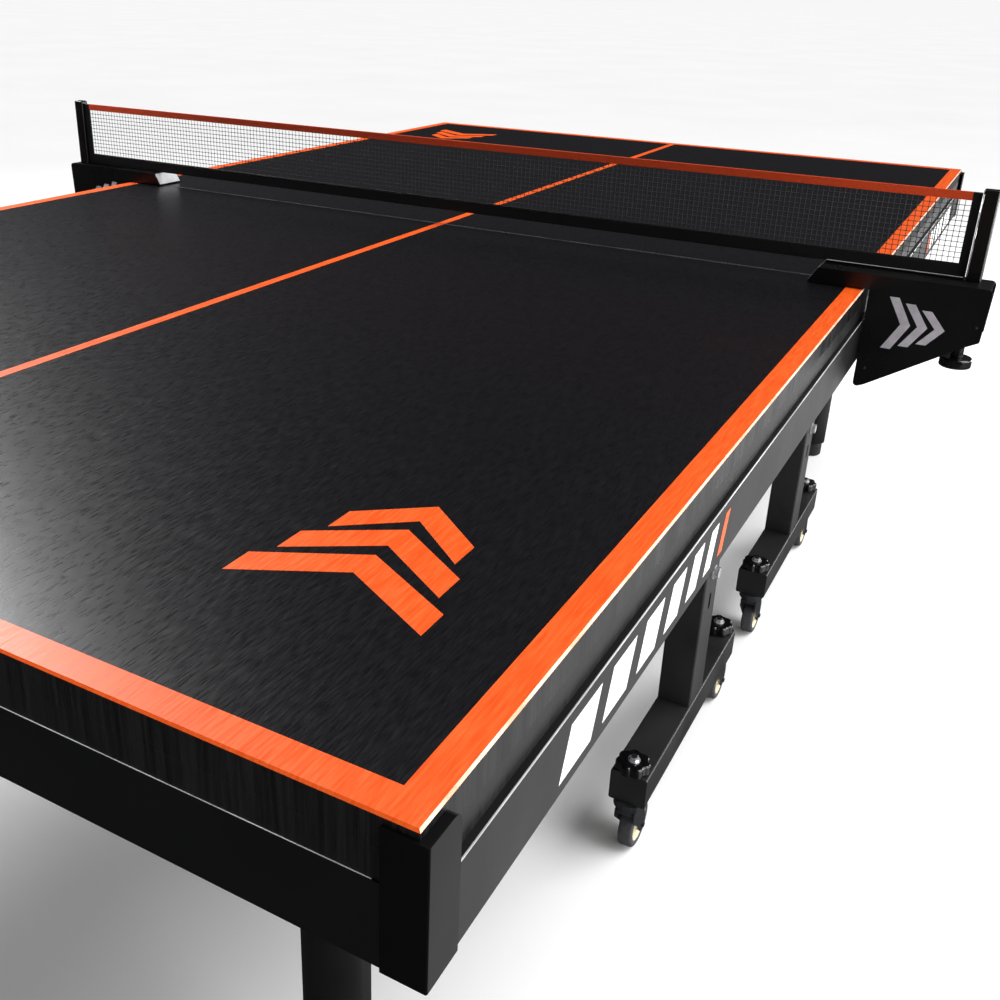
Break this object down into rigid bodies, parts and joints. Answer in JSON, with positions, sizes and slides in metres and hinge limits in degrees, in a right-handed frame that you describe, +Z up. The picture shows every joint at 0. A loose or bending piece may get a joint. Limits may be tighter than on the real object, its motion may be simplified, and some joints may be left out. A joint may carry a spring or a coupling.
{
  "type": "ping pong table",
  "caption": "Table tennis table in two tilting halves on castered undercarriages, with folding end legs and a net on clip-over brackets.",
  "frame": {"origin": "on the floor, under the middle of the net", "axes": "+Y along the table, towards the far half; +X across it; +Z up"},
  "size_m": [1.8734, 2.745, 0.918],
  "materials": {
    "board_paint": "painted matt playing surface with satin lines",
    "black_wood": "brushed black edge",
    "apron_paint": "satin",
    "guard_paint": "satin",
    "frame_paint": "satin",
    "leg_paint": "satin",
    "post_paint": "satin",
    "foot_rubber": "matt",
    "zinc_steel": "zinc plated",
    "caster_steel": "satin",
    "caster_wheel": "grey tread on a cream hub",
    "brake_steel": "zinc plated",
    "knob_plastic": "moulded",
    "bracket_paint": "satin",
    "net_post_paint": "satin",
    "net_cloth": "open mesh with an orange top tape"
  },
  "bodies": {
    "near_undercarriage": {"near_posts": "post_paint", "near_foot_beams": "post_paint", "near_cross_tube": "frame_paint", "near_fasteners": "zinc_steel"},
    "near_half": {"near_top_board": "board_paint", "near_edge_rails": "black_wood", "near_apron": "apron_paint", "near_corner_guards": "guard_paint", "near_frame_rails": "frame_paint", "near_leg_brackets": "frame_paint"},
    "near_legs": {"near_leg_frame": "leg_paint", "near_leg_feet": "foot_rubber"},
    "far_undercarriage": {"far_posts": "post_paint", "far_foot_beams": "post_paint", "far_cross_tube": "frame_paint", "far_fasteners": "zinc_steel"},
    "far_half": {"far_top_board": "board_paint", "far_edge_rails": "black_wood", "far_apron": "apron_paint", "far_corner_guards": "guard_paint", "far_frame_rails": "frame_paint", "far_leg_brackets": "frame_paint"},
    "far_legs": {"far_leg_frame": "leg_paint", "far_leg_feet": "foot_rubber"},
    "near_left_inner_caster": {"near_left_inner_fork": "caster_steel"},
    "near_left_inner_wheel": {"near_left_inner_wheel": "caster_wheel"},
    "near_left_inner_level_knob": {"near_left_inner_level_knob": "knob_plastic"},
    "near_left_outer_caster": {"near_left_outer_fork": "caster_steel"},
    "near_left_outer_wheel": {"near_left_outer_wheel": "caster_wheel"},
    "near_left_outer_level_knob": {"near_left_outer_level_knob": "knob_plastic"},
    "near_left_outer_brake": {"near_left_outer_brake": "brake_steel"},
    "near_right_inner_caster": {"near_right_inner_fork": "caster_steel"},
    "near_right_inner_wheel": {"near_right_inner_wheel": "caster_wheel"},
    "near_right_inner_level_knob": {"near_right_inner_level_knob": "knob_plastic"},
    "near_right_outer_caster": {"near_right_outer_fork": "caster_steel"},
    "near_right_outer_wheel": {"near_right_outer_wheel": "caster_wheel"},
    "near_right_outer_level_knob": {"near_right_outer_level_knob": "knob_plastic"},
    "near_right_outer_brake": {"near_right_outer_brake": "brake_steel"},
    "far_left_inner_caster": {"far_left_inner_fork": "caster_steel"},
    "far_left_inner_wheel": {"far_left_inner_wheel": "caster_wheel"},
    "far_left_inner_level_knob": {"far_left_inner_level_knob": "knob_plastic"},
    "far_left_outer_caster": {"far_left_outer_fork": "caster_steel"},
    "far_left_outer_wheel": {"far_left_outer_wheel": "caster_wheel"},
    "far_left_outer_level_knob": {"far_left_outer_level_knob": "knob_plastic"},
    "far_left_outer_brake": {"far_left_outer_brake": "brake_steel"},
    "far_right_inner_caster": {"far_right_inner_fork": "caster_steel"},
    "far_right_inner_wheel": {"far_right_inner_wheel": "caster_wheel"},
    "far_right_inner_level_knob": {"far_right_inner_level_knob": "knob_plastic"},
    "far_right_outer_caster": {"far_right_outer_fork": "caster_steel"},
    "far_right_outer_wheel": {"far_right_outer_wheel": "caster_wheel"},
    "far_right_outer_level_knob": {"far_right_outer_level_knob": "knob_plastic"},
    "far_right_outer_brake": {"far_right_outer_brake": "brake_steel"},
    "net_set": {"net_bracket_left": "bracket_paint", "net_bracket_right": "bracket_paint", "net_bracket_pads": "foot_rubber"},
    "net": {"net_post_left": "net_post_paint", "net_post_right": "net_post_paint", "net_fabric": "net_cloth"},
    "net_screw_left": {"net_screw_left": "knob_plastic"},
    "net_screw_right": {"net_screw_right": "knob_plastic"}
  },
  "joints": [
    {"name": "halves_apart", "type": "slide", "parent": "near_undercarriage", "child": "far_undercarriage", "axis": [0, 1, 0], "range_m": [0, 1]},
    {"name": "near_half_tilt", "type": "hinge", "parent": "near_undercarriage", "child": "near_half", "pos_m": [0, -0.308, 0.72], "axis": [-1, 0, 0], "range_deg": [0, 90]},
    {"name": "near_legs_fold", "type": "hinge", "parent": "near_half", "child": "near_legs", "pos_m": [0, -1.145, 0.69], "axis": [1, 0, 0], "range_deg": [0, 90]},
    {"name": "far_half_tilt", "type": "hinge", "parent": "far_undercarriage", "child": "far_half", "pos_m": [0, 0.308, 0.72], "axis": [1, 0, 0], "range_deg": [0, 90]},
    {"name": "far_legs_fold", "type": "hinge", "parent": "far_half", "child": "far_legs", "pos_m": [0, 1.145, 0.69], "axis": [-1, 0, 0], "range_deg": [0, 90]},
    {"name": "net_set_lift", "type": "slide", "parent": "near_undercarriage", "child": "net_set", "axis": [0, 0, 1], "range_m": [0, 0.3]},
    {"name": "net_height", "type": "slide", "parent": "net_set", "child": "net", "axis": [0, 0, 1], "range_m": [0, 0.012]},
    {"name": "net_screw_left_turn", "type": "hinge", "parent": "net_set", "child": "net_screw_left", "pos_m": [-0.9055, 0, 0.66], "axis": [0, 0, 1], "range_deg": [0, 1080]},
    {"name": "net_screw_right_turn", "type": "hinge", "parent": "net_set", "child": "net_screw_right", "pos_m": [0.9055, 0, 0.66], "axis": [0, 0, 1], "range_deg": [0, 1080]},
    {"name": "near_left_inner_swivel", "type": "hinge", "parent": "near_undercarriage", "child": "near_left_inner_caster", "pos_m": [-0.637, -0.126, 0.1], "axis": [0, 0, 1], "continuous": true},
    {"name": "near_left_inner_roll", "type": "hinge", "parent": "near_left_inner_caster", "child": "near_left_inner_wheel", "pos_m": [-0.637, -0.094, 0.0375], "axis": [1, 0, 0], "continuous": true},
    {"name": "near_left_inner_level", "type": "hinge", "parent": "near_undercarriage", "child": "near_left_inner_level_knob", "pos_m": [-0.637, -0.126, 0.165], "axis": [0, 0, 1], "continuous": true},
    {"name": "near_left_outer_swivel", "type": "hinge", "parent": "near_undercarriage", "child": "near_left_outer_caster", "pos_m": [-0.637, -0.546, 0.1], "axis": [0, 0, 1], "continuous": true},
    {"name": "near_left_outer_roll", "type": "hinge", "parent": "near_left_outer_caster", "child": "near_left_outer_wheel", "pos_m": [-0.637, -0.514, 0.0375], "axis": [1, 0, 0], "continuous": true},
    {"name": "near_left_outer_level", "type": "hinge", "parent": "near_undercarriage", "child": "near_left_outer_level_knob", "pos_m": [-0.637, -0.546, 0.165], "axis": [0, 0, 1], "continuous": true},
    {"name": "near_left_outer_brake_press", "type": "hinge", "parent": "near_left_outer_caster", "child": "near_left_outer_brake", "pos_m": [-0.637, -0.52, 0.081], "axis": [-1, 0, 0], "range_deg": [0, 5]},
    {"name": "near_right_inner_swivel", "type": "hinge", "parent": "near_undercarriage", "child": "near_right_inner_caster", "pos_m": [0.637, -0.126, 0.1], "axis": [0, 0, 1], "continuous": true},
    {"name": "near_right_inner_roll", "type": "hinge", "parent": "near_right_inner_caster", "child": "near_right_inner_wheel", "pos_m": [0.637, -0.094, 0.0375], "axis": [1, 0, 0], "continuous": true},
    {"name": "near_right_inner_level", "type": "hinge", "parent": "near_undercarriage", "child": "near_right_inner_level_knob", "pos_m": [0.637, -0.126, 0.165], "axis": [0, 0, 1], "continuous": true},
    {"name": "near_right_outer_swivel", "type": "hinge", "parent": "near_undercarriage", "child": "near_right_outer_caster", "pos_m": [0.637, -0.546, 0.1], "axis": [0, 0, 1], "continuous": true},
    {"name": "near_right_outer_roll", "type": "hinge", "parent": "near_right_outer_caster", "child": "near_right_outer_wheel", "pos_m": [0.637, -0.514, 0.0375], "axis": [1, 0, 0], "continuous": true},
    {"name": "near_right_outer_level", "type": "hinge", "parent": "near_undercarriage", "child": "near_right_outer_level_knob", "pos_m": [0.637, -0.546, 0.165], "axis": [0, 0, 1], "continuous": true},
    {"name": "near_right_outer_brake_press", "type": "hinge", "parent": "near_right_outer_caster", "child": "near_right_outer_brake", "pos_m": [0.637, -0.52, 0.081], "axis": [-1, 0, 0], "range_deg": [0, 5]},
    {"name": "far_left_inner_swivel", "type": "hinge", "parent": "far_undercarriage", "child": "far_left_inner_caster", "pos_m": [-0.637, 0.126, 0.1], "axis": [0, 0, 1], "continuous": true},
    {"name": "far_left_inner_roll", "type": "hinge", "parent": "far_left_inner_caster", "child": "far_left_inner_wheel", "pos_m": [-0.637, 0.158, 0.0375], "axis": [1, 0, 0], "continuous": true},
    {"name": "far_left_inner_level", "type": "hinge", "parent": "far_undercarriage", "child": "far_left_inner_level_knob", "pos_m": [-0.637, 0.126, 0.165], "axis": [0, 0, 1], "continuous": true},
    {"name": "far_left_outer_swivel", "type": "hinge", "parent": "far_undercarriage", "child": "far_left_outer_caster", "pos_m": [-0.637, 0.546, 0.1], "axis": [0, 0, 1], "continuous": true},
    {"name": "far_left_outer_roll", "type": "hinge", "parent": "far_left_outer_caster", "child": "far_left_outer_wheel", "pos_m": [-0.637, 0.578, 0.0375], "axis": [1, 0, 0], "continuous": true},
    {"name": "far_left_outer_level", "type": "hinge", "parent": "far_undercarriage", "child": "far_left_outer_level_knob", "pos_m": [-0.637, 0.546, 0.165], "axis": [0, 0, 1], "continuous": true},
    {"name": "far_left_outer_brake_press", "type": "hinge", "parent": "far_left_outer_caster", "child": "far_left_outer_brake", "pos_m": [-0.637, 0.572, 0.081], "axis": [-1, 0, 0], "range_deg": [0, 5]},
    {"name": "far_right_inner_swivel", "type": "hinge", "parent": "far_undercarriage", "child": "far_right_inner_caster", "pos_m": [0.637, 0.126, 0.1], "axis": [0, 0, 1], "continuous": true},
    {"name": "far_right_inner_roll", "type": "hinge", "parent": "far_right_inner_caster", "child": "far_right_inner_wheel", "pos_m": [0.637, 0.158, 0.0375], "axis": [1, 0, 0], "continuous": true},
    {"name": "far_right_inner_level", "type": "hinge", "parent": "far_undercarriage", "child": "far_right_inner_level_knob", "pos_m": [0.637, 0.126, 0.165], "axis": [0, 0, 1], "continuous": true},
    {"name": "far_right_outer_swivel", "type": "hinge", "parent": "far_undercarriage", "child": "far_right_outer_caster", "pos_m": [0.637, 0.546, 0.1], "axis": [0, 0, 1], "continuous": true},
    {"name": "far_right_outer_roll", "type": "hinge", "parent": "far_right_outer_caster", "child": "far_right_outer_wheel", "pos_m": [0.637, 0.578, 0.0375], "axis": [1, 0, 0], "continuous": true},
    {"name": "far_right_outer_level", "type": "hinge", "parent": "far_undercarriage", "child": "far_right_outer_level_knob", "pos_m": [0.637, 0.546, 0.165], "axis": [0, 0, 1], "continuous": true},
    {"name": "far_right_outer_brake_press", "type": "hinge", "parent": "far_right_outer_caster", "child": "far_right_outer_brake", "pos_m": [0.637, 0.572, 0.081], "axis": [-1, 0, 0], "range_deg": [0, 5]}
  ],
  "couplings": [
    {"joint": "net_screw_left_turn", "follows": "net_height", "rad_per_m": 1570.8},
    {"joint": "net_screw_right_turn", "follows": "net_height", "rad_per_m": 1570.8}
  ]
}
